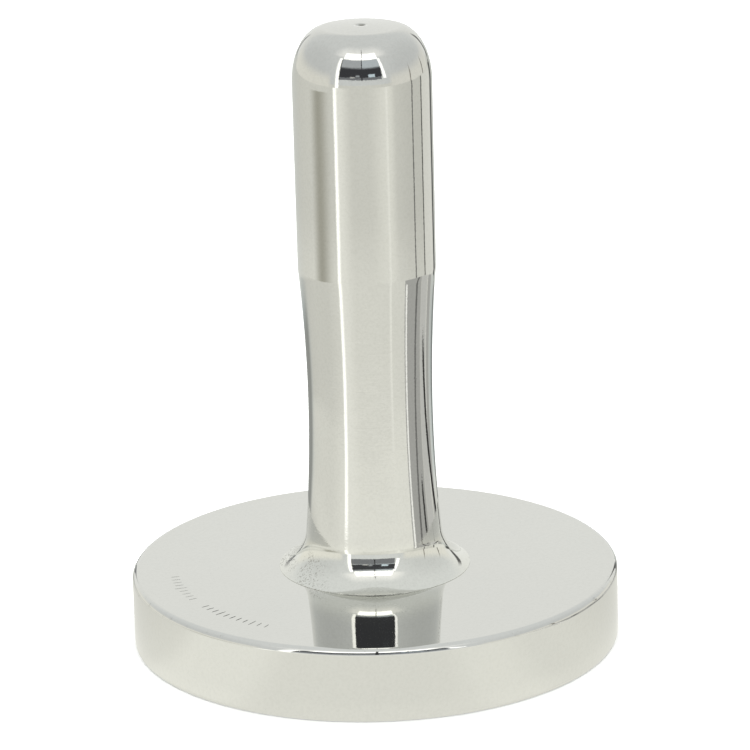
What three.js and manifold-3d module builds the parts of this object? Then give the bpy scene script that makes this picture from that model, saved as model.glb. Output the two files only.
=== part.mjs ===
// Espresso tamper in polished stainless steel: a round flat plate, a slim turned handle
// and the threaded stud that joins them. Millimetres, +Z up, origin under the plate's centre.

import * as THREE from 'three';
import { mergeVertices } from 'three/addons/utils/BufferGeometryUtils.js';
import Module from 'manifold-3d';

// The plate.
const plateDiameter = 58;
const plateThickness = 8.75;
const plateTopRound = 0.8;
const plateFootRound = 0.35;

// The handle, with heights measured from its own lower face.
const handleLength = 65.5;
const gripDiameter = 16.2;
const waistDepth = 0.75;
const waistBottom = 4.3;
const waistTop = 36.8;
const flareRadius = 4.6;
const collarDiameter = 22.8;
const shoulderHeight = 6.25;
const shoulderRun = 3.85;
const crownHeight = 0.18;
const dimpleDiameter = 1.2;
const dimpleDepth = 0.6;

// The M8 stud, and the plain holes that stand for its tapped holes.
const threadDiameter = 7.9;
const holeClearance = 0.1;
const holeMouthChamfer = 0.5;
const studInPlate = 6;
const studInHandle = 14;
const studEndGap = 0.25;
const studChamfer = 0.6;
const keySocketWidth = 4;
const keySocketDepth = 4;

// Facets round each turned piece, and along its rounded stretches.
const plateSides = 96;
const handleSides = 48;
const edgeSteps = 4;
const curveSteps = 9;
const waistSteps = 12;

const wasm = await Module();
wasm.setup();

function namedMesh(name, geometry, color, roughness) {
  const material = new THREE.MeshStandardMaterial({ color, metalness: 1, roughness });
  const mesh = new THREE.Mesh(geometry, material);
  mesh.name = name;
  return mesh;
}

// A body of revolution about Z from [radius, height] pairs that start and end on the axis,
// listed from the lower end round the outside to the upper end.
function turned(outline, sides) {
  const points = outline.map(([radius, height]) => new THREE.Vector2(radius, height));
  const geometry = new THREE.LatheGeometry(points, sides);
  geometry.rotateX(Math.PI / 2);
  return geometry;
}

// Points on an elliptical arc between two angles in degrees.
function arc(centreR, centreZ, radiusR, radiusZ, startDeg, endDeg, steps) {
  const points = [];
  for (let i = 0; i <= steps; i += 1) {
    const angle = THREE.MathUtils.degToRad(startDeg + ((endDeg - startDeg) * i) / steps);
    points.push([centreR + radiusR * Math.cos(angle), centreZ + radiusZ * Math.sin(angle)]);
  }
  return points;
}

function toSolid(geometry) {
  const bare = geometry.clone();
  bare.deleteAttribute('normal');
  bare.deleteAttribute('uv');
  const merged = mergeVertices(bare, 1e-5);
  return new wasm.Manifold(new wasm.Mesh({
    numProp: 3,
    vertProperties: new Float32Array(merged.attributes.position.array),
    triVerts: new Uint32Array(merged.index.array),
  }));
}

function toGeometry(solid) {
  const mesh = solid.getMesh();
  const geometry = new THREE.BufferGeometry();
  geometry.setAttribute('position', new THREE.BufferAttribute(mesh.vertProperties, 3));
  geometry.setIndex(new THREE.BufferAttribute(mesh.triVerts, 1));
  geometry.computeVertexNormals();
  return geometry;
}

const holeRadius = threadDiameter / 2 + holeClearance;

// The plate: rounded top edge, softly broken foot edge and a blind hole from above that
// leaves the tamping face whole.
function makePlate() {
  const radius = plateDiameter / 2;
  const holeFloor = plateThickness - studInPlate - studEndGap;
  return turned([
    [0, 0],
    ...arc(radius - plateFootRound, plateFootRound, plateFootRound, plateFootRound, -90, 0, edgeSteps),
    ...arc(radius - plateTopRound, plateThickness - plateTopRound, plateTopRound, plateTopRound,
      0, 90, edgeSteps),
    [holeRadius + holeMouthChamfer, plateThickness],
    [holeRadius, plateThickness - holeMouthChamfer],
    [holeRadius, holeFloor],
    [0, holeFloor],
  ], plateSides);
}

// The waist is one long shallow arc, cut symmetrically into the straight grip. Its slope where
// it meets the grip is also the slope at which the concave flare of the collar takes over.
function waistArc() {
  const halfChord = (waistTop - waistBottom) / 2;
  const radius = (halfChord ** 2 + waistDepth ** 2) / (2 * waistDepth);
  const endSlope = THREE.MathUtils.radToDeg(Math.asin(halfChord / radius));
  const centreR = gripDiameter / 2 - waistDepth + radius;
  const centreZ = (waistTop + waistBottom) / 2;
  return { radius, endSlope, centreR, centreZ };
}

// The handle: collar, concave flare, waist, straight grip, elliptical shoulder, slightly
// crowned end with a centre dimple, and a blind hole from below. The crown is a parabola, so
// it has dropped by a quarter of its height halfway out.
function makeHandle() {
  const gripRadius = gripDiameter / 2;
  const collarRadius = collarDiameter / 2;
  const waist = waistArc();

  const slope = THREE.MathUtils.degToRad(waist.endSlope);
  const flareR = gripRadius + flareRadius * Math.cos(slope);
  const flareZ = waistBottom + flareRadius * Math.sin(slope);
  const flareStart = 180 + THREE.MathUtils.radToDeg(Math.acos((flareR - collarRadius) / flareRadius));
  const waistStart = 180 + waist.endSlope;
  const waistEnd = 180 - waist.endSlope;

  const shoulderBottom = handleLength - crownHeight - shoulderHeight;
  const crownRadius = gripRadius - shoulderRun;
  const dimpleRadius = dimpleDiameter / 2;
  const holeTop = studInHandle + studEndGap;
  return turned([
    [0, holeTop],
    [holeRadius, holeTop],
    [holeRadius, holeMouthChamfer],
    [holeRadius + holeMouthChamfer, 0],
    [collarRadius, 0],
    ...arc(flareR, flareZ, flareRadius, flareRadius, flareStart, waistStart, curveSteps),
    ...arc(waist.centreR, waist.centreZ, waist.radius, waist.radius, waistStart, waistEnd,
      waistSteps).slice(1),
    ...arc(crownRadius, shoulderBottom, shoulderRun, shoulderHeight, 0, 90, curveSteps),
    [crownRadius / 2, handleLength - crownHeight / 4],
    [dimpleRadius, handleLength],
    [0, handleLength - dimpleDepth],
  ], handleSides);
}

// The stud: a headless set screw at its thread's crest diameter, chamfered at both ends, with a
// hexagonal key socket opening upwards. Its zero height is where plate and handle meet.
function makeStud() {
  const radius = threadDiameter / 2;
  const body = turned([
    [0, -studInPlate],
    [radius - studChamfer, -studInPlate],
    [radius, studChamfer - studInPlate],
    [radius, studInHandle - studChamfer],
    [radius - studChamfer, studInHandle],
    [0, studInHandle],
  ], handleSides);
  const keyRadius = keySocketWidth / Math.sqrt(3);
  const key = new THREE.CylinderGeometry(keyRadius, keyRadius, 2 * keySocketDepth, 6);
  key.rotateX(Math.PI / 2);
  key.translate(0, 0, studInHandle);
  return toGeometry(toSolid(body).subtract(toSolid(key)));
}

const tamper = new THREE.Group();

const plate = namedMesh('base_plate', makePlate(), 0xdddeda, 0.06);
tamper.add(plate);

// Handle and stud share the seam on top of the plate.
const screwedOn = new THREE.Group();
screwedOn.position.z = plateThickness;
screwedOn.add(namedMesh('handle', makeHandle(), 0xd2d2cd, 0.06));
screwedOn.add(namedMesh('joining_stud', makeStud(), 0x9a9a98, 0.35));
tamper.add(screwedOn);

export default tamper;
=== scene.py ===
import math

import bpy
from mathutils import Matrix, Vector


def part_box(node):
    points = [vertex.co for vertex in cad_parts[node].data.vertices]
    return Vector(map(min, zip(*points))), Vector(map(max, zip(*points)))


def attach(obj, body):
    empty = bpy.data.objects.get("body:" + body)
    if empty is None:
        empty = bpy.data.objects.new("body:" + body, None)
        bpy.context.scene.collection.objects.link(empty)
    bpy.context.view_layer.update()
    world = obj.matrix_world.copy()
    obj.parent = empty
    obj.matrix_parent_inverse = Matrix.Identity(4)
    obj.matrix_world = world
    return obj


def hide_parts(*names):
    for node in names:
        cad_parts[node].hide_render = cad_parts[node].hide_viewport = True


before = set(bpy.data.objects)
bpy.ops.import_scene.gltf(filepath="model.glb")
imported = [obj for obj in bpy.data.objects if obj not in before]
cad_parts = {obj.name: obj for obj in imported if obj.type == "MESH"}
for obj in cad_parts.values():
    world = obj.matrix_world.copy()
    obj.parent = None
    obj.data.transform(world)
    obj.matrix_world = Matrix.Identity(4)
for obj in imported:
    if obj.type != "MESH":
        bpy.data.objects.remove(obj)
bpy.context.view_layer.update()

mm = 0.001
scene = bpy.context.scene
plateBox, handleBox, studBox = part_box("base_plate"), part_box("handle"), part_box("joining_stud")
print("frame loaded")


def plug(tree, socket, value):
    if isinstance(value, Wire):
        tree.links.new(value.socket, socket)
    elif value is not None:
        socket.default_value = value


def maths(tree, operation, *values):
    node = tree.nodes.new("ShaderNodeMath")
    node.operation = operation
    for number, value in enumerate(values):
        plug(tree, node.inputs[number], value)
    return Wire(tree, node.outputs[0])


# One node socket. Sums of wires read as plain Python and build Math nodes.
class Wire:
    def __init__(self, tree, socket):
        self.tree, self.socket = tree, socket

    def calc(self, operation, *others):
        return maths(self.tree, operation, self, *others)

    def __add__(self, other):
        return self.calc("ADD", other)

    def __radd__(self, other):
        return maths(self.tree, "ADD", other, self)

    def __sub__(self, other):
        return self.calc("SUBTRACT", other)

    def __rsub__(self, other):
        return maths(self.tree, "SUBTRACT", other, self)

    def __mul__(self, other):
        return self.calc("MULTIPLY", other)

    def __rmul__(self, other):
        return maths(self.tree, "MULTIPLY", other, self)

    def __truediv__(self, other):
        return self.calc("DIVIDE", other)

    def __pow__(self, other):
        return self.calc("POWER", other)

    def __gt__(self, other):
        return self.calc("GREATER_THAN", other)

    def __lt__(self, other):
        return self.calc("LESS_THAN", other)


class Graph:
    def __init__(self, tree):
        self.tree = tree
        tree.nodes.clear()

    # Any node: its type, its settings, then its socket values. Its outputs come back as wires.
    def add(self, kind, settings=None, values=None):
        node = self.tree.nodes.new(kind)
        for name, value in (settings or {}).items():
            setattr(node, name, value)
        for key, value in (values or {}).items():
            plug(self.tree, node.inputs[key], value)
        wires = {number: Wire(self.tree, socket) for number, socket in enumerate(node.outputs)}
        for socket in node.outputs:
            if socket.enabled:
                wires.setdefault(socket.name, Wire(self.tree, socket))
        return wires

    def noise(self, vector, scale, detail=2.0, roughness=0.5):
        return self.add("ShaderNodeTexNoise", {"noise_dimensions": "3D"},
                        {"Vector": vector, "Scale": scale, "Detail": detail, "Roughness": roughness})[0]

    def step(self, value, low, high):                 # 0 at low, 1 at high, smooth between
        return self.add("ShaderNodeMapRange", {"interpolation_type": "SMOOTHSTEP"},
                        {"Value": value, "From Min": low, "From Max": high})[0]

    def blend(self, mask, colorA, colorB):
        return self.add("ShaderNodeMix", {"data_type": "RGBA"}, {0: mask, 6: colorA, 7: colorB})[2]

    def clamp(self, value, low=0.0, high=1.0):
        return self.add("ShaderNodeClamp", None, {"Value": value, "Min": low, "Max": high})[0]

    def stretch(self, vector, scales):
        return self.add("ShaderNodeVectorMath", {"operation": "MULTIPLY"}, {0: vector, 1: scales})[0]

    def join(self, x=0.0, y=0.0, z=0.0):
        return self.add("ShaderNodeCombineXYZ", None, {"X": x, "Y": y, "Z": z})[0]

    def split(self, vector):
        parts = self.add("ShaderNodeSeparateXYZ", None, {0: vector})
        return parts[0], parts[1], parts[2]


def newMaterial(name):
    material = bpy.data.materials.new(name)
    material.use_nodes = True
    return material, Graph(material.node_tree)


def newTree(name, inputs):
    tree = bpy.data.node_groups.new(name, "GeometryNodeTree")
    for title, kind in inputs.items():
        tree.interface.new_socket(name=title, in_out="INPUT", socket_type="NodeSocket" + kind)
    tree.interface.new_socket(name="Made", in_out="OUTPUT", socket_type="NodeSocketGeometry")
    g = Graph(tree)
    return tree, g, g.add("NodeGroupInput")


def closeTree(g, geometry, material, weld=2e-7):
    welded = g.add("GeometryNodeMergeByDistance", None, {"Geometry": geometry, "Distance": weld})[0]
    smooth = g.add("GeometryNodeSetShadeSmooth", None, {"Geometry": welded})[0]
    real = g.add("GeometryNodeRealizeInstances", None, {"Geometry": smooth})[0]
    done = g.add("GeometryNodeSetMaterial", None, {"Geometry": real, "Material": material})[0]
    g.add("NodeGroupOutput", None, {0: done})


# Runs a tree on an outline, or on nothing, and keeps the result as a plain mesh.
def makePiece(name, tree, inputs, outline=()):
    points = [(r * mm, 0.0, z * mm) for r, z in outline]
    mesh = bpy.data.meshes.new(name + "Outline")
    mesh.from_pydata(points, [(i, i + 1) for i in range(len(points) - 1)], [])
    start = bpy.data.objects.new(name + "Outline", mesh)
    scene.collection.objects.link(start)
    modifier = start.modifiers.new(tree.name, "NODES")
    modifier.node_group = tree
    sockets = {item.name: item.identifier for item in tree.interface.items_tree
               if item.item_type == "SOCKET" and item.in_out == "INPUT"}
    for title, value in inputs.items():
        modifier[sockets[title]] = value
    graph = bpy.context.evaluated_depsgraph_get()
    made = bpy.data.meshes.new_from_object(start.evaluated_get(graph))
    made.name = name
    piece = bpy.data.objects.new(name, made)
    scene.collection.objects.link(piece)
    start.modifiers.remove(modifier)
    bpy.data.objects.remove(start)
    triangles = sum(len(face.vertices) - 2 for face in made.polygons)
    print(f"{name}: {len(made.vertices)} vertices, {triangles} triangles")
    return piece


# The thread that joins the pieces, and the holes tapped for it, in millimetres. A flank is where
# a thread's side begins and ends, in pitches from the middle of its crest.
thread = {
    "pitch": 1.25,
    "boreRadius": 4.05,
    "mouthChamfer": 0.5,
    "tapDepth": 0.42,
    "tapFlank": (0.1, 0.4),
    "screwFlank": (0.0625, 0.417),
    "mouthGap": 0.05,
    "floorGap": 0.3,
    "rowsPerMm": 8,
}


# Turns an outline about Z: a column of the grid is a stop on the way round, a row is a point.
def makeTurnTree():
    tree, g, given = newTree("turnOutline", {
        "Outline": "Geometry", "Sides": "Int", "Bore Radius": "Float", "Thread Low": "Float",
        "Thread High": "Float", "Thread Pitch": "Float", "Thread Depth": "Float", "Material": "Material"})
    outline, sides = given["Outline"], given["Sides"]
    rings = g.add("GeometryNodeAttributeDomainSize", {"component": "MESH"}, {"Geometry": outline})[0]
    grid = g.add("GeometryNodeMeshGrid", None,
                 {"Size X": sides, "Size Y": rings - 1, "Vertices X": sides + 1, "Vertices Y": rings})[0]
    position = g.add("GeometryNodeInputPosition")[0]
    across, along, _ = g.split(position)
    column = (across + sides / 2).calc("ROUND")
    ring = g.add("FunctionNodeFloatToInt", {"rounding_mode": "ROUND"}, {0: along + (rings - 1) / 2})[0]
    point = g.add("GeometryNodeSampleIndex", {"data_type": "FLOAT_VECTOR", "domain": "POINT"},
                  {"Geometry": outline, "Value": position, "Index": ring})[0]
    radius, _, height = g.split(point)

    # a tapped hole: the bore's wall is cut outwards along a right-hand helix
    spare = 50                                        # pitches, so that the phase stays above zero
    onWall = 1e-6                                     # metres that a wall's point may be off the bore
    part = column / sides
    phase = (height / given["Thread Pitch"] - part + spare).calc("FRACT")
    cut = g.step((phase - 0.5).calc("ABSOLUTE"), *thread["tapFlank"])
    inBore = (radius - given["Bore Radius"]).calc("ABSOLUTE") < onWall
    inReach = (height > given["Thread Low"]) * (height < given["Thread High"])
    wide = radius + cut * inBore * inReach * given["Thread Depth"]
    turn = part * (2 * math.pi)
    spot = g.join(wide * turn.calc("COSINE"), wide * turn.calc("SINE"), height)
    body = g.add("GeometryNodeSetPosition", None, {"Geometry": grid, "Position": spot})[0]
    closeTree(g, body, given["Material"])
    return tree


# A cut screw. Rows lean with the helix, so one turn round a row lifts it by one pitch. One row
# below the thread closes the lower end, and three above it make the key socket.
def makeScrewTree():
    tree, g, given = newTree("cutScrew", {
        "Columns": "Int", "Rows per Pitch": "Int", "Pitch": "Float", "Low": "Float", "High": "Float",
        "Crest Radius": "Float", "Thread Depth": "Float", "Run Out": "Float", "Key Width": "Float",
        "Key Depth": "Float", "Key Point": "Float", "Material": "Material"})
    columns, perPitch, pitch = given["Columns"], given["Rows per Pitch"], given["Pitch"]
    low, high = given["Low"], given["High"]
    endRows, keySides = 4, 6
    threadRows = ((high - low) / pitch + 1).calc("CEIL") * perPitch + 1
    rows = threadRows + endRows
    grid = g.add("GeometryNodeMeshGrid", None,
                 {"Size X": columns, "Size Y": rows - 1, "Vertices X": columns + 1, "Vertices Y": rows})[0]
    across, along, _ = g.split(g.add("GeometryNodeInputPosition")[0])
    part = (across + columns / 2).calc("ROUND") / columns
    row = (along + (rows - 1) / 2).calc("ROUND") - 1       # -1 is the middle of the lower end

    pastWhole = 1.0001                                     # so that rounding can't drop a whole pitch
    leaning = low - pitch + (row / perPitch + part) * pitch
    height = g.clamp(leaning, low, high)
    phase = (row / perPitch + pastWhole).calc("FRACT")
    crest, root = thread["screwFlank"]
    groove = g.add("ShaderNodeMapRange", None,
                   {"Value": (phase - 0.5).calc("ABSOLUTE"), "From Min": crest, "From Max": root})[0]
    toEnd = (leaning - low).calc("MINIMUM", high - leaning)
    cover = g.add("ShaderNodeMapRange", None,
                  {"Value": toEnd, "From Max": given["Run Out"], "To Min": 1.0, "To Max": 0.0})[0]
    threaded = given["Crest Radius"] - given["Thread Depth"] * groove.calc("MAXIMUM", cover)

    turn = part * (2 * math.pi)
    flat = (part * keySides + 0.5).calc("FRACT") - 0.5     # place on one side of the key socket
    hexagon = given["Key Width"] / 2 / (flat * (2 * math.pi / keySides)).calc("COSINE")
    lower, rim = row < -0.5, row > threadRows - 0.5
    bottom, centre = row > threadRows + 0.5, row > threadRows + 1.5
    radius = (1 - lower) * (1 - rim) * threaded + rim * (1 - centre) * hexagon
    drop = bottom * given["Key Depth"] + centre * given["Key Point"]
    spot = g.join(radius * turn.calc("COSINE"), radius * turn.calc("SINE"), height - drop)
    body = g.add("GeometryNodeSetPosition", None, {"Geometry": grid, "Position": spot})[0]
    closeTree(g, body, given["Material"])
    return tree


# Short etched strokes along an arc, with a gap in the row and every fifth one longer.
def makeTickTree():
    tree, g, given = newTree("tickArc", {
        "Ticks": "Int", "Radius": "Float", "First Angle": "Float", "Step": "Float", "Length": "Float",
        "Longer": "Float", "Width": "Float", "Height": "Float", "Level": "Float", "Gap From": "Int",
        "Gap To": "Int", "Material": "Material"})
    spots = g.add("GeometryNodeMeshLine", {"mode": "OFFSET"}, {"Count": given["Ticks"]})[0]
    index = g.add("GeometryNodeInputIndex")[0]
    angle = given["First Angle"] + index * given["Step"]
    reach = given["Radius"]
    place = g.join(reach * angle.calc("COSINE"), reach * angle.calc("SINE"), given["Level"])
    spots = g.add("GeometryNodeSetPosition", None, {"Geometry": spots, "Position": place})[0]
    stroke = g.add("GeometryNodeMeshCylinder", {"fill_type": "NGON"},
                   {"Vertices": 12, "Radius": 0.5, "Depth": 1.0})["Mesh"]
    fifth = ((index + 1) / 5).calc("FRACT") < 0.1
    size = g.join(given["Length"] * (1 + given["Longer"] * fifth), given["Width"], given["Height"])
    gap = (index > given["Gap From"] - 0.5) * (index < given["Gap To"] + 0.5)
    facing = g.add("FunctionNodeEulerToRotation", None, {0: g.join(0.0, 0.0, angle)})[0]
    placed = g.add("GeometryNodeInstanceOnPoints", None, {
        "Points": spots, "Selection": gap < 0.5, "Instance": stroke, "Rotation": facing, "Scale": size})[0]
    real = g.add("GeometryNodeRealizeInstances", None, {"Geometry": placed})[0]
    done = g.add("GeometryNodeSetMaterial", None, {"Geometry": real, "Material": given["Material"]})[0]
    g.add("NodeGroupOutput", None, {0: done})
    return tree


# What polishing and handling leave on both turned pieces. A spread is where a noise fades in.
# The dimple's levels and radii are in millimetres, the depths in metres.
wear = {
    "filmSpread": (0.42, 0.75),
    "filmTone": 0.4,
    "wipeSpread": (0.62, 0.72),
    "wipeRough": 0.03,
    "mottleSpread": (0.35, 0.75),
    "nickScale": 900.0,
    "nickSpread": (0.60, 0.70),
    "nickTone": 0.25,
    "nickRough": 0.12,
    "nickDepth": 4e-6,
    "patchScale": 340.0,
    "patchSpread": (0.44, 0.56),
    "speckFade": 0.03,
    "speckTone": 0.55,
    "speckRough": 0.3,
    "speckDepth": 2e-6,
    "dimpleLevels": (70.0, 72.0),
    "dimpleRadii": (0.45, 0.65),
    "grimeScale": 1500.0,
    "grimeSpread": (0.35, 0.55),
    "grimeTone": 0.85,
    "grimeRough": 0.4,
}


# Mirror-polished stainless steel with what handling leaves on it.
def polishedSteel(name, look):
    material, g = newMaterial(name)
    coords = g.add("ShaderNodeTexCoord")["Object"]
    x, y, z = g.split(coords)
    radius = (x * x + y * y) ** 0.5

    def fade(value, ends):                            # 0 at the first end, 1 at the second, in mm
        return g.step(value, ends[0] * mm, ends[1] * mm)

    clouds = g.noise(coords, look["cloudScale"], 3.0)
    film = g.step(g.noise(coords, look["filmScale"], 5.0, 0.6), *wear["filmSpread"])
    grain = g.noise(coords, look["grainScale"], 3.0, 0.6)
    turned = g.noise(g.join(radius * look["lineScale"], z * look["lineScale"], clouds * 4), 1.0, 2.0)
    wiped = g.step(g.noise(g.stretch(coords, look["wipeStretch"]), 1.0, 3.0, 0.6), *wear["wipeSpread"])
    rim = fade(radius, look["rimRadii"]) * fade(z, look["rimLevels"])
    nicks = g.step(g.noise(coords, wear["nickScale"], 4.0, 0.7), *wear["nickSpread"]) * rim

    # residue in dots and loose patches, to the left of the axis and near one level
    foot = fade(0 - x, look["speckSide"]) * fade(z, look["speckLevels"])
    dots = g.noise(coords, look["speckScale"], 2.0, 0.6)
    dots = g.step(dots, look["speckLimit"], look["speckLimit"] + wear["speckFade"])
    specks = dots * foot * g.step(g.noise(coords, wear["patchScale"], 3.0, 0.6), *wear["patchSpread"])
    dimple = fade(z, wear["dimpleLevels"]) * (1 - fade(radius, wear["dimpleRadii"]))
    grime = dimple * g.step(g.noise(coords, wear["grimeScale"], 2.0), *wear["grimeSpread"])

    tone = g.blend(clouds, look["tint"], look["shade"])
    tone = g.blend(film * wear["filmTone"], tone, look["film"])
    # towards the foot the tone turns lighter and warmer: fully below the first level, fading out by the
    # second
    tone = g.blend(1 - fade(z, look["lowerToneLevels"]), tone, look["lowerTone"])
    tone = g.blend(g.step(grain, *wear["mottleSpread"]) * look["mottle"], tone, look["dull"])
    dirt = specks * wear["speckTone"] + nicks * wear["nickTone"] + grime * wear["grimeTone"]
    tone = g.blend(g.clamp(dirt), tone, look["dirt"])
    rough = look["rough"] + film * look["filmRough"] + wiped * wear["wipeRough"]
    rough = rough + nicks * wear["nickRough"] + specks * wear["speckRough"] + grime * wear["grimeRough"]
    height = clouds * look["wave"] + grain * look["grain"] + turned * look["line"] - wiped * look["wipe"]
    height = height - specks * wear["speckDepth"] - nicks * wear["nickDepth"]
    bump = g.add("ShaderNodeBump", None, {"Distance": 1.0, "Height": height})[0]
    shader = g.add("ShaderNodeBsdfPrincipled", None,
                   {"Base Color": tone, "Metallic": 1.0, "Roughness": g.clamp(rough), "Normal": bump})[0]
    g.add("ShaderNodeOutputMaterial", None, {"Surface": shader})
    return material


# Plain machined steel for the screw, with a trace of oil in its grooves.
def machinedSteel(name, look):
    material, g = newMaterial(name)
    coords = g.add("ShaderNodeTexCoord")["Object"]
    grain = g.noise(g.stretch(coords, look["grainStretch"]), 1.0, 3.0)
    oil = g.step(g.noise(coords, look["oilScale"], 4.0, 0.6), *look["oilSpread"])
    tone = g.blend(oil, look["tint"], look["oily"])
    rough = look["rough"] + oil * look["oilRough"]
    bump = g.add("ShaderNodeBump", None,
                 {"Strength": look["grainBump"], "Distance": look["grainDepth"], "Height": grain})[0]
    shader = g.add("ShaderNodeBsdfPrincipled", None,
                   {"Base Color": tone, "Metallic": 1.0, "Roughness": rough, "Normal": bump})[0]
    g.add("ShaderNodeOutputMaterial", None, {"Surface": shader})
    return material


# Dull etched strokes, darkest a little way along the arc. The fades are angles in degrees.
def etchedSteel(name, look):
    material, g = newMaterial(name)
    coords = g.add("ShaderNodeTexCoord")["Object"]
    x, y, _ = g.split(coords)
    angle = y.calc("ARCTAN2", x)
    worn = g.noise(coords, look["wornScale"], 3.0, 0.6)
    rise, fall = [[math.radians(end) for end in look[key]] for key in ("fadeIn", "fadeOut")]
    dark = g.step(angle, *rise) * (1 - g.step(angle, *fall) * look["fadeShare"])
    tone = g.blend(g.clamp(dark * look["darkTone"] + worn * look["wornTone"]), look["pale"], look["dark"])
    rough = look["rough"] + worn * look["wornRough"]
    bump = g.add("ShaderNodeBump", None, {"Distance": look["wornDepth"], "Height": worn})[0]
    shader = g.add("ShaderNodeBsdfPrincipled", None, {
        "Base Color": tone, "Metallic": look["metallic"], "Roughness": rough, "Normal": bump})[0]
    g.add("ShaderNodeOutputMaterial", None, {"Surface": shader})
    return material


def arc(centreR, centreZ, radiusR, radiusZ, start, end, steps):
    angles = [math.radians(start + (end - start) * i / steps) for i in range(steps + 1)]
    return [(centreR + radiusR * math.cos(a), centreZ + radiusZ * math.sin(a)) for a in angles]


# Adds a ring close to both ends of each long straight run, so that shading stays flat on it.
def withCrispEnds(points, gap=0.03, longRun=1.2):
    dense = [points[0]]
    for a, b in zip(points, points[1:]):
        length = math.dist(a, b)
        if length > longRun:
            for share in (gap / length, 1 - gap / length):
                dense.append((a[0] + (b[0] - a[0]) * share, a[1] + (b[1] - a[1]) * share))
        dense.append(b)
    return dense


# The wall of a tapped hole, with enough rings to carry the thread.
def boreWall(fromZ, toZ):
    steps = round(abs(toZ - fromZ) * thread["rowsPerMm"])
    return [(thread["boreRadius"], fromZ + (toZ - fromZ) * i / steps) for i in range(1, steps)]


# A turned piece with its hole tapped between two levels, both in millimetres.
def turnPiece(name, outline, sides, threadLow, threadHigh, material):
    return makePiece(name, turnTree, {
        "Sides": sides, "Bore Radius": thread["boreRadius"] * mm,
        "Thread Low": threadLow * mm, "Thread High": threadHigh * mm,
        "Thread Pitch": thread["pitch"] * mm, "Thread Depth": thread["tapDepth"] * mm,
        "Material": material}, outline)


turnTree, screwTree, tickTree = makeTurnTree(), makeScrewTree(), makeTickTree()
print("node trees made")


# Sizes in millimetres.
plate = {
    "diameter": (plateBox[1].x - plateBox[0].x) / mm,
    "thickness": plateBox[1].z / mm,
    "topRound": 0.8,
    "footRound": 0.35,
    "holeDepth": 6.25,
    "sides": 384,
    "topSteps": 20,
    "footSteps": 10,
}

# Levels, radii and sides are in millimetres, depths in metres.
plateLook = {
    "tint": (0.715, 0.715, 0.686, 1),
    "shade": (0.68, 0.68, 0.653, 1),
    "film": (0.685, 0.69, 0.665, 1),
    "lowerTone": (0.715, 0.715, 0.686, 1),
    "dull": (0.45, 0.45, 0.42, 1),
    "dirt": (0.24, 0.23, 0.21, 1),
    "rough": 0.025,
    "filmRough": 0.03,
    "mottle": 0.10,
    "cloudScale": 60.0,
    "filmScale": 140.0,
    "grainScale": 2600.0,
    "lineScale": 9000.0,
    "wipeStretch": (900.0, 160.0, 160.0),
    "wave": 1.5e-5,
    "grain": 5e-7,
    "line": 1.5e-7,
    "wipe": 1e-6,
    "lowerToneLevels": (1.0, 3.0),
    "rimRadii": (28.0, 28.6),
    "rimLevels": (7.6, 8.4),
    "speckSide": (8.0, 11.0),
    "speckLevels": (8.0, 8.5),
    "speckScale": 2200.0,
    "speckLimit": 0.80,
}


def plateOutline(p):
    radius, top, rim, foot = p["diameter"] / 2, p["thickness"], p["topRound"], p["footRound"]
    bore, chamfer = thread["boreRadius"], thread["mouthChamfer"]
    floor, mouth = top - p["holeDepth"], top - chamfer
    outline = [(0, 0)]
    outline += arc(radius - foot, foot, foot, foot, -90, 0, p["footSteps"])
    outline += arc(radius - rim, top - rim, rim, rim, 0, 90, p["topSteps"])
    outline += [(bore + chamfer, top), (bore, mouth)]
    outline += boreWall(mouth, floor)
    outline += [(bore, floor), (0, floor)]
    return withCrispEnds(outline)


plateSteel = polishedSteel("plateSteel", plateLook)
platePiece = turnPiece(
    "plateTurned", plateOutline(plate), plate["sides"],
    plate["thickness"] - plate["holeDepth"] + thread["floorGap"],
    plate["thickness"] - thread["mouthChamfer"] - thread["mouthGap"], plateSteel)
print("plate turned")


# Sizes in millimetres, with heights from the handle's own foot.
handle = {
    "foot": handleBox[0].z / mm,
    "length": (handleBox[1].z - handleBox[0].z) / mm,
    "gripRadius": 8.1,
    "waistDepth": 0.75,
    "waistBottom": 4.3,
    "waistTop": 36.8,
    "flareRadius": 4.6,
    "collarRadius": (handleBox[1].x - handleBox[0].x) / 2 / mm,
    "lipRound": 0.02,
    "lipTurn": 75,                                    # degrees of the lip's round before the flare
    "edgeHeight": 0.05,
    "shoulderHeight": 6.25,
    "shoulderRun": 3.85,
    "crownHeight": 0.18,
    "crownStop": 0.78,                                # no ring of the crown lies closer to the axis
    "dimpleRadius": 0.6,
    "dimpleDepth": 0.6,
    "dimpleEdge": 0.03,
    "dimpleEdgeDrop": 0.04,
    "holeDepth": 14.25,
    "sides": 256,
    "lipSteps": 4,
    "flareSteps": 36,
    "waistSteps": 48,
    "shoulderSteps": 36,
    "crownSteps": 12,
}

handleLook = {
    "tint": (0.68, 0.68, 0.653, 1),
    "shade": (0.645, 0.645, 0.615, 1),
    "film": (0.65, 0.651, 0.629, 1),
    # a lighter, warmer tone near the foot, fading out between the two levels given further down
    "lowerTone": (0.765, 0.765, 0.715, 1),
    "dull": (0.42, 0.42, 0.39, 1),
    "dirt": (0.20, 0.185, 0.155, 1),
    "rough": 0.03,
    "filmRough": 0.04,
    "mottle": 0.15,
    "cloudScale": 90.0,
    "filmScale": 160.0,
    "grainScale": 3200.0,
    "lineScale": 9000.0,
    "wipeStretch": (260.0, 260.0, 1500.0),
    "wave": 2.5e-5,
    "grain": 1.8e-6,
    "line": 5e-7,
    "wipe": 1.2e-6,
    "lowerToneLevels": (11.6, 14.2),
    "rimRadii": (10.9, 11.3),
    "rimLevels": (8.6, 8.8),
    "speckSide": (4.8, 7.2),
    "speckLevels": (12.0, 10.8),
    "speckScale": 4200.0,
    "speckLimit": 0.56,
}


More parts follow.
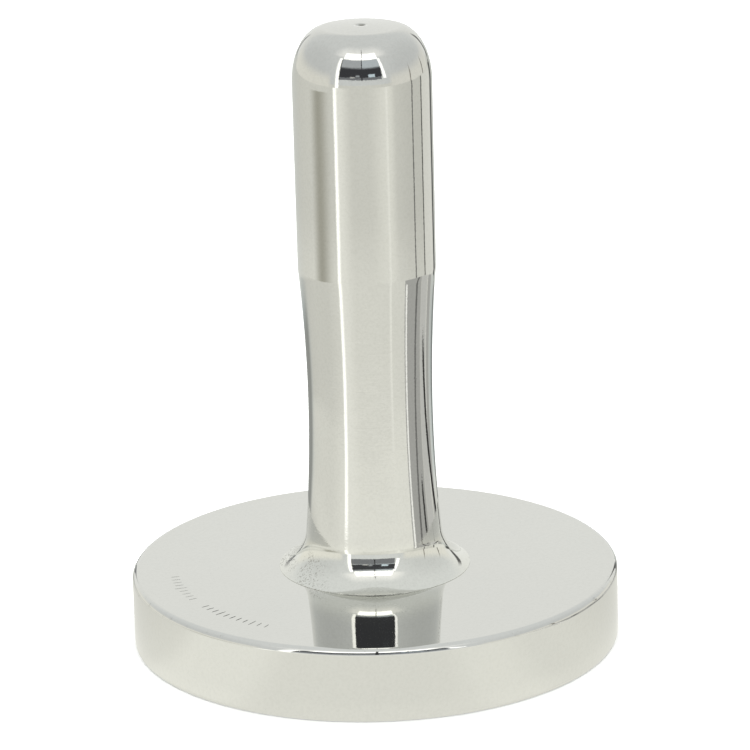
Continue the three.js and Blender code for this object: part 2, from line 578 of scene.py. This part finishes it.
# The collar's lip, the concave flare and the waist, upwards from the foot's outer edge.
def flareAndWaist(p):
    grip, collar, lip = p["gripRadius"], p["collarRadius"], p["lipRound"]
    halfChord = (p["waistTop"] - p["waistBottom"]) / 2
    waistRadius = (halfChord ** 2 + p["waistDepth"] ** 2) / (2 * p["waistDepth"])
    slope = math.degrees(math.asin(halfChord / waistRadius))
    waistR = grip - p["waistDepth"] + waistRadius
    waistZ = (p["waistTop"] + p["waistBottom"]) / 2
    flareR = grip + p["flareRadius"] * math.cos(math.radians(slope))
    flareZ = p["waistBottom"] + p["flareRadius"] * math.sin(math.radians(slope))
    flareStart = 180 + math.degrees(math.acos((flareR - collar + lip) / p["flareRadius"]))
    flareDrop = (flareZ - p["edgeHeight"]) / -math.sin(math.radians(flareStart))     # down to a thin edge
    flare = arc(flareR, flareZ, p["flareRadius"], flareDrop, flareStart, 180 + slope, p["flareSteps"])
    outline = arc(collar - lip, lip, lip, lip, -90, 0, p["lipSteps"])
    outline += arc(collar - lip, flare[0][1] - lip, lip, lip, 0, p["lipTurn"], p["lipSteps"])
    outline += flare
    outline += arc(waistR, waistZ, waistRadius, waistRadius, 180 + slope, 180 - slope, p["waistSteps"])[1:]
    return outline


# The rounded shoulder, the slightly crowned end and its dimple, upwards from the grip.
def shoulderAndCrown(p):
    top, steps, dimple, edge = p["length"], p["crownSteps"], p["dimpleRadius"], p["dimpleEdge"]
    shoulderZ = top - p["crownHeight"] - p["shoulderHeight"]
    crownRadius = p["gripRadius"] - p["shoulderRun"]
    outline = arc(crownRadius, shoulderZ, p["shoulderRun"], p["shoulderHeight"], 0, 90, p["shoulderSteps"])
    for i in range(1, steps):
        share = 1 - i / steps
        if crownRadius * share > p["crownStop"]:
            outline.append((crownRadius * share, top - p["crownHeight"] * share ** 2))
    outline += [(dimple + edge, top), (dimple - edge, top - p["dimpleEdgeDrop"])]
    return outline + [(0, top - p["dimpleDepth"])]


def handleOutline(p):
    bore, chamfer = thread["boreRadius"], thread["mouthChamfer"]
    outline = [(0, p["holeDepth"]), (bore, p["holeDepth"])]
    outline += boreWall(p["holeDepth"], chamfer)
    outline += [(bore, chamfer), (bore + chamfer, 0)]
    outline += flareAndWaist(p) + shoulderAndCrown(p)
    return [(r, z + p["foot"]) for r, z in withCrispEnds(outline)]


handleSteel = polishedSteel("handleSteel", handleLook)
handlePiece = turnPiece(
    "handleTurned", handleOutline(handle), handle["sides"],
    handle["foot"] + thread["mouthChamfer"] + thread["mouthGap"],
    handle["foot"] + handle["holeDepth"] - thread["floorGap"], handleSteel)
print("handle turned")


# Sizes in millimetres.
stud = {
    "low": studBox[0].z / mm,
    "high": studBox[1].z / mm,
    "crestRadius": (studBox[1].x - studBox[0].x) / 2 / mm,
    "threadDepth": 0.75,
    "runOut": 0.9,
    "keyWidth": 4.0,
    "keyDepth": 3.6,
    "keyPoint": 0.35,
    "columns": 48,
    "rowsPerPitch": 12,
}

studLook = {
    "tint": (0.46, 0.455, 0.43, 1),
    "oily": (0.30, 0.29, 0.26, 1),
    "rough": 0.24,
    "oilRough": 0.14,
    "oilScale": 500.0,
    "oilSpread": (0.4, 0.7),
    "grainStretch": (2500.0, 2500.0, 9000.0),
    "grainDepth": 8e-6,
    "grainBump": 0.6,
}

studSteel = machinedSteel("studSteel", studLook)
studPiece = makePiece("studThreaded", screwTree, {
    "Columns": stud["columns"], "Rows per Pitch": stud["rowsPerPitch"], "Pitch": thread["pitch"] * mm,
    "Low": stud["low"] * mm, "High": stud["high"] * mm, "Crest Radius": stud["crestRadius"] * mm,
    "Thread Depth": stud["threadDepth"] * mm, "Run Out": stud["runOut"] * mm,
    "Key Width": stud["keyWidth"] * mm, "Key Depth": stud["keyDepth"] * mm,
    "Key Point": stud["keyPoint"] * mm, "Material": studSteel})
print("stud cut")


# A neutral scale of strokes, where a maker would etch something. Millimetres and degrees.
ticks = {
    "count": 22,
    "radius": 24.0,
    "firstAngle": -172.0,
    "step": 2.4,
    "length": 1.05,
    "longer": 0.45,                                   # added share of the length
    "width": 0.13,
    "height": 0.02,
    "gap": (9, 10),                                   # first and last stroke left out, from 0
}

tickLook = {
    "pale": (0.50, 0.50, 0.475, 1),
    "dark": (0.12, 0.12, 0.115, 1),
    "darkTone": 0.9,
    "wornTone": 0.3,
    "wornScale": 1800.0,
    "wornRough": 0.2,
    "wornDepth": 4e-6,
    "rough": 0.42,
    "metallic": 0.85,
    "fadeIn": (-158.0, -140.0),
    "fadeOut": (-133.125, -122.811),
    "fadeShare": 0.6,
}

etched = etchedSteel("etchedStrokes", tickLook)
tickPiece = makePiece("etchedTicks", tickTree, {
    "Ticks": ticks["count"], "Radius": ticks["radius"] * mm,
    "First Angle": math.radians(ticks["firstAngle"]), "Step": math.radians(ticks["step"]),
    "Length": ticks["length"] * mm, "Longer": ticks["longer"], "Width": ticks["width"] * mm,
    "Height": ticks["height"] * mm, "Level": plate["thickness"] * mm,
    "Gap From": ticks["gap"][0], "Gap To": ticks["gap"][1], "Material": etched})
print("strokes etched")


for piece, body, slot, node in (
        (platePiece, "plate", "plate_steel", "base_plate"),
        (handlePiece, "handle", "handle_steel", "handle"),
        (studPiece, "stud", "stud_steel", "joining_stud"),
        (tickPiece, "plate", "plate_steel", None)):
    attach(piece, body)
    if node:
        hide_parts(node)
print("pieces set on their bodies")


# The studio: a pale floor, a soft surround, and panels that only reflections see. The surround
# turns from its overhead tone to its back one away from the camera, and darkens to both sides.
studio = {
    "floorSize": 12.0,
    "floorColor": (0.93, 0.93, 0.92, 1),
    "overhead": (0.99, 1.015, 1.015),
    "back": (1.12, 1.13, 1.10),
    "backTilt": 0.35,
    "backFade": (0.45, 0.80),
    "sideFade": (0.45, 1.0),
    "sideDrop": 0.12,
    "fillHeight": 0.9,
    "fillSize": 1.4,
    "fillPower": 10.5,
    "gain": 0.847,
}


def addMesh(name, points, faces, material=None):
    mesh = bpy.data.meshes.new(name)
    mesh.from_pydata(points, [], faces)
    if material:
        mesh.materials.append(material)
    thing = bpy.data.objects.new(name, mesh)
    scene.collection.objects.link(thing)
    return thing


def onlyReflected(panel):
    for side in ("camera", "diffuse", "shadow", "transmission", "volume_scatter"):
        setattr(panel, "visible_" + side, False)


# A square as wide as the floor, at a height in metres.
def addSheet(name, height, material):
    half = studio["floorSize"] / 2
    corners = [(-half, -half, height), (half, -half, height), (half, half, height), (-half, half, height)]
    return addMesh(name, corners, [(0, 1, 2, 3)], material)


def paleFloor():
    material, g = newMaterial("floorPaper")
    shader = g.add("ShaderNodeBsdfDiffuse", None, {"Color": studio["floorColor"]})[0]
    g.add("ShaderNodeOutputMaterial", None, {"Surface": shader})
    floor = addSheet("studioFloor", 0, material)
    floor.visible_glossy = False                      # polished metal sees the lying sheet instead


def softSurround():
    world = bpy.data.worlds.new("softSurround")
    world.use_nodes = True
    g = Graph(world.node_tree)
    side, behind, up = g.split(g.add("ShaderNodeTexCoord")["Generated"])
    back = g.step(behind - up * studio["backTilt"], *studio["backFade"])
    tone = g.blend(back, (*studio["overhead"], 1), (*studio["back"], 1))
    edge = 1 - g.step(side.calc("ABSOLUTE"), *studio["sideFade"]) * studio["sideDrop"]
    shader = g.add("ShaderNodeBackground", None, {"Color": tone, "Strength": edge * studio["gain"]})[0]
    g.add("ShaderNodeOutputWorld", None, {"Surface": shader})
    scene.world = world


# Azimuth in degrees about the object, 0 in front and 90 to the right, then distance from its
# axis and height, both in metres.
def polar(g):
    x, y, z = g.split(g.add("ShaderNodeTexCoord")["Object"])
    return x.calc("ARCTAN2", 0 - y) * (180 / math.pi), (x * x + y * y) ** 0.5, z


# Where the metal's picture of the floor gets lighter or darker, and by what share. Azimuths are
# in degrees; each other pair is a distance from the axis in metres, over which the change fades.
sheet = {
    "level": 1.13,
    "height": 0.0001,
    "farFade": (0.165, 0.215), "farDrop": 0.11,
    "waistFrom": (0.06, 0.075), "waistTo": (0.0945, 0.0998), "waistLift": 0.14,
    "rightAzimuth": (38.0, 84.0), "rightFade": (0.05, 0.2), "rightDrop": 0.12,
    "leftAzimuth": (95.0, 130.0), "leftDrop": 0.06,
    "plateAzimuth": (62.0, 105.0), "plateFade": (0.056, 0.066), "plateDrop": 0.13,
    "nookAzimuth": (42.0, 78.0), "nookFrom": (0.06, 0.08), "nookTo": (0.128, 0.15), "nookDrop": 0.12,
    "backAzimuth": (118.0, 160.0), "backDrop": 0.08,
    "nearFrom": (0.06, 0.075), "nearTo": (0.12, 0.15), "nearDrop": 0.40,
    "warm": (1.0, 1.0, 0.935, 1), "cool": (0.93, 1.0, 0.99, 1), "coolShare": 0.3,
}


# The floor as the metal sees it: brightest close by in front, darker at the sides and behind.
def lyingSheet():
    material, g = newMaterial("lyingSheet")
    azimuth, reach, _ = polar(g)
    toLeft, turn = 0 - azimuth, azimuth.calc("ABSOLUTE")
    waist = g.step(reach, *sheet["waistFrom"]) * (1 - g.step(reach, *sheet["waistTo"]))
    right = g.step(azimuth, *sheet["rightAzimuth"]) * g.step(reach, *sheet["rightFade"])
    left = g.step(toLeft, *sheet["leftAzimuth"])
    byPlate = g.step(turn, *sheet["plateAzimuth"]) * (1 - g.step(reach, *sheet["plateFade"]))
    nook = g.step(reach, *sheet["nookFrom"]) * (1 - g.step(reach, *sheet["nookTo"]))
    nook = g.step(toLeft, *sheet["nookAzimuth"]) * nook
    behind = g.step(turn, *sheet["backAzimuth"])
    near = g.step(reach, *sheet["nearFrom"]) * (1 - g.step(reach, *sheet["nearTo"]))

    level = sheet["level"] - g.step(reach, *sheet["farFade"]) * sheet["farDrop"]
    level = level + waist * sheet["waistLift"]
    level = level * (1 - right * sheet["rightDrop"]) * (1 - left * sheet["leftDrop"])
    level = level * (1 - byPlate * sheet["plateDrop"]) * (1 - nook * sheet["nookDrop"])
    level = level * (1 - behind * (sheet["backDrop"] + near * sheet["nearDrop"]))
    tint = g.blend(g.clamp(behind * near + behind * sheet["coolShare"]), sheet["warm"], sheet["cool"])
    light = g.add("ShaderNodeEmission", None, {"Color": tint, "Strength": level * studio["gain"]})[0]
    g.add("ShaderNodeOutputMaterial", None, {"Surface": light})
    onlyReflected(addSheet("lyingSheet", sheet["height"], material))


# A panel's light or shade fades towards its left and right edges, and towards its near and far
# edges if it lies down, or its lower and upper ones if it stands.
def panelMaterial(name, color, azimuths, softAz, other, softOther, isLying, lean=0.0):
    material, g = newMaterial(name)
    azimuth, reach, z = polar(g)
    second = reach if isLying else (z / reach).calc("ARCTANGENT") * (180 / math.pi)
    if lean:
        azimuth = azimuth - (second - other[0]) * (lean / (other[1] - other[0]))
    mask = 1.0
    for value, (low, high), (softLow, softHigh) in (
            (azimuth, azimuths, softAz), (second, other, softOther)):
        mask = mask * g.step(value, low, low + softLow) if softLow else mask
        mask = mask * (1 - g.step(value, high - softHigh, high)) if softHigh else mask
    light = g.add("ShaderNodeEmission", None, {"Color": (*color, 1), "Strength": studio["gain"]})[0]
    clear = g.add("ShaderNodeBsdfTransparent")[0]
    surface = g.add("ShaderNodeMixShader", None, {0: mask, 1: clear, 2: light})[0]
    g.add("ShaderNodeOutputMaterial", None, {"Surface": surface})
    return material


def gridFaces(wide, tall):
    row = wide + 1
    return [(k * row + i, k * row + i + 1, (k + 1) * row + i + 1, (k + 1) * row + i)
            for k in range(tall) for i in range(wide)]


# How far off the panels stand, how high they lie, and how finely they are cut, in metres and
# faces. Where lying panels overlap, the higher one hides the lower.
panels = {
    "distance": 0.9,
    "frameDistance": 0.86,
    "nearDistance": 0.24,
    "paneDistance": 0.236,
    "backDistance": 0.95,
    "glowDistance": 0.94,
    "farEdge": 0.9,
    "glowHeight": 0.0004,
    "lampHeight": 0.0005,
    "edgeHeight": 0.0006,
    "lineHeight": 0.0008,
    "facesAcross": 24,
    "facesUp": 12,
    "facesOut": 6,
}


# Part of a sphere about the object; lean shifts its upper edge sideways, in degrees.
def standing(name, color, azimuths, elevations, softAz=(0, 0), softEl=(0, 0),
             distance=panels["distance"], lean=0.0):
    wide, tall = panels["facesAcross"], panels["facesUp"]
    points = []
    for k in range(tall + 1):
        e = math.radians(elevations[0] + (elevations[1] - elevations[0]) * k / tall)
        for i in range(wide + 1):
            a = math.radians(azimuths[0] + (azimuths[1] - azimuths[0]) * i / wide + lean * k / tall)
            points.append((distance * math.cos(e) * math.sin(a), -distance * math.cos(e) * math.cos(a),
                           distance * math.sin(e)))
    material = panelMaterial(name, color, azimuths, softAz, elevations, softEl, False)
    onlyReflected(addMesh(name, points, gridFaces(wide, tall), material))


# Part of a ring on the floor; lean turns its outer edge about the object, in degrees.
def lying(name, color, azimuths, reach, softAz=(0, 0), softReach=(0, 0),
          height=panels["glowHeight"], lean=0.0):
    wide, deep = panels["facesAcross"], panels["facesOut"] if lean else 1
    points = []
    for k in range(deep + 1):
        r = reach[0] + (reach[1] - reach[0]) * k / deep
        for i in range(wide + 1):
            a = math.radians(azimuths[0] + (azimuths[1] - azimuths[0]) * i / wide + lean * k / deep)
            points.append((r * math.sin(a), -r * math.cos(a), height))
    material = panelMaterial(name, color, azimuths, softAz, reach, softReach, True, lean)
    onlyReflected(addMesh(name, points, gridFaces(wide, deep), material))


# The window behind the camera: its sides and the half width of its post are azimuths, its
# levels elevations, all in degrees.
window = {
    "sides": (-37, 33),
    "post": 0.8,
    "frame": 1.5,
    "foot": 11,
    "sill": 24,
    "sillFade": 1,
    "top": 42,
    "postTop": 70,
}


# The window with its sill, post and frame, and what stands close in front of it: the low flare
# sees the near panels higher up the window than the end cap does.
def windowPanels():
    left, right = window["sides"]
    post, foot, sill, top = window["post"], window["foot"], window["sill"], window["top"]
    fade, frameAway = window["sillFade"], panels["frameDistance"]
    standing("windowLeft", (0.62, 0.65, 0.68), (left, -post), (sill, top))
    standing("windowRight", (0.74, 0.81, 0.86), (post, right), (sill, top))
    standing("windowSill", (0.27, 0.28, 0.30), (left, right), (foot, sill + fade), softEl=(0, fade))
    standing("windowLower", (0.070, 0.072, 0.080), (left, right), (26.5, 41.5), softEl=(0, 4),
             distance=panels["nearDistance"])
    standing("windowPost", (0.04, 0.04, 0.04), (-post, post), (foot, window["postTop"]),
             softEl=(0, 10), distance=frameAway)
    standing("windowFrame", (0.15, 0.15, 0.15), (left - window["frame"], left), (foot, top),
             distance=frameAway)
    for name, color, azimuths, elevations, softAz, softEl in (
            ("windowPane", (0.85, 1.0, 1.1), (10, 22), (26.8, 31.5), (1, 1), (0.5, 1)),
            ("windowBlob", (0.50, 0.53, 0.56), (-11, -3), (27.0, 31.0), (2, 2), (1, 2)),
            ("windowGlint", (0.8, 0.8, 0.78), (-21, -10), (26.3, 28.5), (3, 3), (0, 1))):
        standing(name, color, azimuths, elevations, softAz, softEl, distance=panels["paneDistance"])


# The lamp above the window with its glow, the light that comes past the window's sides, bars at
# the right and pale low walls at both sides.
def lampsAndWalls():
    standing("lamp", (2.8, 2.8, 2.75), window["sides"], (43, 57), softAz=(1, 1), softEl=(0.5, 4))
    standing("lampGlow", (1.35, 1.35, 1.33), (-70, 66), (43, 78), softAz=(32, 32), softEl=(6, 24),
             distance=panels["glowDistance"])
    standing("sideLeft", (2.1, 2.1, 2.05), (-46, -38.5), (-1, 44), softAz=(3, 0.5), softEl=(0, 1))
    standing("sideRight", (2.0, 2.0, 2.0), (36, 41), (12, 43), lean=-5.0)
    standing("sideBar", (0.40, 0.38, 0.34), (85.5, 88), (-1, 22), softAz=(0.5, 0.5), softEl=(0, 14))
    standing("sideBarFar", (0.34, 0.33, 0.30), (118, 121), (-1, 18), softAz=(0.7, 0.7), softEl=(0, 12))
    standing("lowLeft", (1.14, 1.13, 1.05), (-152, -50), (-1, 20), softAz=(14, 8), softEl=(0, 14),
             distance=panels["backDistance"])
    standing("lowRight", (1.10, 1.09, 1.02), (44, 148), (-1, 20), softAz=(8, 14), softEl=(0, 14),
             distance=panels["backDistance"])


# Light on the floor: the tall light to the left of the camera, and a weaker one to its right.
def floorLights():
    far, glow, lamp = panels["farEdge"], panels["glowHeight"], panels["lampHeight"]
    for name, color, azimuths, reach, softAz, softReach, height in (
            ("keyOnFloor", (2.1, 2.1, 2.02), (-50, -41), (0.078, far), (3.5, 4.5), (0.006, 0), lamp),
            ("keyTail", (1.32, 1.32, 1.24), (-46, -16), (0.078, far), (1, 28), (0.006, 0), glow),
            ("keyByPlate", (1.24, 1.24, 1.16), (-74, -26), (0.029, 0.058), (14, 16), (0, 0.004), glow),
            ("sideGlow", (1.20, 1.20, 1.12), (6, 56), (0.135, far), (32, 14), (0.01, 0), glow),
            ("sideOnFloor", (1.32, 1.32, 1.24), (35, 42), (0.092, far), (4, 2.5), (0.006, 0), lamp),
            ("sideByPlate", (1.20, 1.20, 1.12), (18, 54), (0.029, 0.058), (14, 16), (0, 0.004), glow)):
        lying(name, color, azimuths, reach, softAz, softReach, height)


# The brown-grey wall far to the left, what stands close behind on the left, and a pale one
# behind on the right.
def floorWalls():
    far, lamp = panels["farEdge"], panels["lampHeight"]
    for name, color, azimuths, reach, softAz, softReach in (
            ("brownWall", (0.60, 0.59, 0.515), (-98, -52), (0.128, 0.38), (20, 26), (0.012, 0.03)),
            ("nearLeft", (0.42, 0.43, 0.41), (-175, -127), (0.045, 0.130), (6, 15), (0.002, 0.014)),
            ("rightPale", (1.09, 1.09, 1.03), (113, 142), (0.137, far), (1, 2), (0.002, 0))):
        lying(name, color, azimuths, reach, softAz, softReach, lamp)


# Grey and dark edges on the right: far ones first, then what stands close to the waist, then
# thin lines at the foot. Each is a neutral tone, slightly warm, with a sharp near edge.
def rightEdges():
    far = (0.137, panels["farEdge"])
    near = (0.045, 0.137)
    low, edge, line = panels["lampHeight"], panels["edgeHeight"], panels["lineHeight"]
    warmth, sharp = 0.97, (0.001, 0)
    for name, tone, azimuths, reach, softAz, height, lean in (
            ("edgeA", 0.22, (86, 89.5), far, (1.5, 0.8), edge, 0),
            ("edgeB", 0.10, (109, 112.5), far, (1, 1), edge, 0),
            ("edgeC", 0.12, (142, 154), far, (4, 4), edge, 0),
            ("nearGrey", 0.62, (65, 104), near, (1, 3), low, 0),
            ("nearPale", 0.84, (102, 122), near, (2, 2), edge, 0),
            ("nearDark", 0.60, (122, 136), near, (3, 3), edge, 0),
            ("nearEdge", 0.14, (149, 158), near, (3, 4), edge, 0),
            ("nearLine", 0.22, (78.5, 84), (0.055, 0.15), (2, 2), edge, 17),
            ("footLineA", 0.07, (93, 98), (0.045, 0.078), (1, 1), line, 0),
            ("footLineB", 0.04, (128, 136), (0.055, 0.108), (2, 2), line, -20),
            ("footBright", 1.5, (67, 71), (0.045, 0.110), (1, 1), line, 0)):
        lying(name, (tone, tone, tone * warmth), azimuths, reach, softAz, sharp, height, lean)
    standing("frameRight", (0.16, 0.16, 0.16), (150, 156), (-1, 26), softAz=(1.5, 1.5), softEl=(0, 10))
    standing("frameLeft", (0.28, 0.29, 0.30), (-161, -156), (-1, 22), softAz=(1, 1), softEl=(0, 14))


# A soft overhead lamp lifts the floor to white; polished metal doesn't show it.
def overheadFill():
    fill = bpy.data.lights.new("overheadFill", "AREA")
    fill.shape, fill.size, fill.energy = "DISK", studio["fillSize"], studio["fillPower"]
    fillObject = bpy.data.objects.new("overheadFill", fill)
    fillObject.location = (0, 0, studio["fillHeight"])
    fillObject.visible_glossy = False
    scene.collection.objects.link(fillObject)


paleFloor()
softSurround()
lyingSheet()
windowPanels()
lampsAndWalls()
floorLights()
floorWalls()
rightEdges()
overheadFill()
print("studio built")


# Lens and sensor in millimetres, distances in metres, angles in degrees.
camera = {
    "lens": 183.2,
    "sensor": 36.0,
    "distance": 0.450,
    "elevation": 17.19,
    "aim": (0.00061, 0.0, 0.03218),
    "roll": 1.5,
    "nearest": 0.01,
    "farthest": 50.0,
}


def setCamera(c):
    elevation = math.radians(c["elevation"])
    back = Vector((0.0, -math.cos(elevation), math.sin(elevation)))
    lensData = bpy.data.cameras.new("camera")
    lensData.lens, lensData.sensor_width = c["lens"], c["sensor"]
    lensData.clip_start, lensData.clip_end = c["nearest"], c["farthest"]
    holder = bpy.data.objects.new("camera", lensData)
    scene.collection.objects.link(holder)
    turn = back.to_track_quat("Z", "Y").to_matrix()
    roll = math.radians(c["roll"])
    right, up = turn.col[0], turn.col[1]
    newUp = up * math.cos(roll) + right * math.sin(roll)
    newRight = right * math.cos(roll) - up * math.sin(roll)
    holder.matrix_world = turn.to_4x4()
    for row in range(3):
        holder.matrix_world[row][0], holder.matrix_world[row][1] = newRight[row], newUp[row]
    holder.matrix_world.translation = Vector(c["aim"]) + back * c["distance"]
    scene.camera = holder


setCamera(camera)
scene.view_settings.view_transform = "Standard"
print("camera set")
